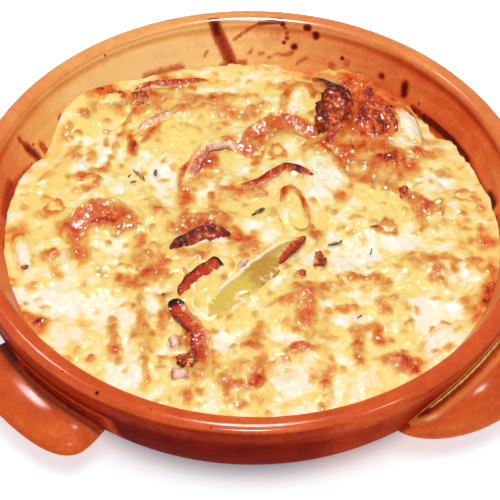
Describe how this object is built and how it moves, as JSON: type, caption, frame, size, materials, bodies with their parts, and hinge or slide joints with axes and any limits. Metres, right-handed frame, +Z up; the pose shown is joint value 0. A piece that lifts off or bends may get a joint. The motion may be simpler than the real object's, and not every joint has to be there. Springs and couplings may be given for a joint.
{
  "type": "potato and bacon gratin in earthenware dish",
  "caption": "Cheese-topped potato gratin with bacon, onion and pepper strips, baked in a shallow round glazed earthenware dish with lug handles.",
  "frame": {"origin": "middle of the dish's flat foot, on the table", "axes": "+Z up; the dish is round about Z, with its lug handles near the diagonals of X and Y; -Y is the side nearest the viewer"},
  "size_m": [0.28, 0.28, 0.062],
  "materials": {
    "glaze": "glossy, streaked red-brown glaze over red clay",
    "crust": "melted cheese and cream, blistered golden to red-brown",
    "bacon": "greasy, dark at the edges",
    "char": "scorched, slightly shiny",
    "onion": "soft, wet, pink to purple",
    "pepper": "soft, wet, olive to gold",
    "potato": "soft, moist"
  },
  "bodies": {
    "root": {"dish": "glaze", "gratin": "crust", "bacon_long_upper": "bacon", "bacon_long_lower": "bacon", "bacon_thin": "bacon", "onion_dark_crescent": "char", "onion_arc": "onion", "onion_bacon_fold": "bacon", "pepper_strip": "pepper", "pepper_skin": "bacon", "char_ribbon": "char", "bacon_fold_outer": "bacon", "bacon_fold_inner": "bacon", "onion_strip_back": "onion", "bacon_strip_back": "bacon", "bacon_left": "bacon", "bacon_charred_chunk": "char", "potato_chunk_right": "potato", "potato_chunk_middle": "potato", "potato_slice_centre": "potato", "potato_slice_front": "potato", "potato_slice_back": "potato", "potato_edge_left": "potato", "onion_layers_right": "onion", "onion_cube_dark": "char", "onion_cube_pale": "onion", "onion_bit_front": "onion", "onion_bit_middle": "char", "onion_bit_centre": "onion", "onion_bit_right": "char", "bacon_bit_centre": "bacon", "bacon_lump_back": "bacon", "bacon_bit_back": "char"}
  },
  "joints": []
}
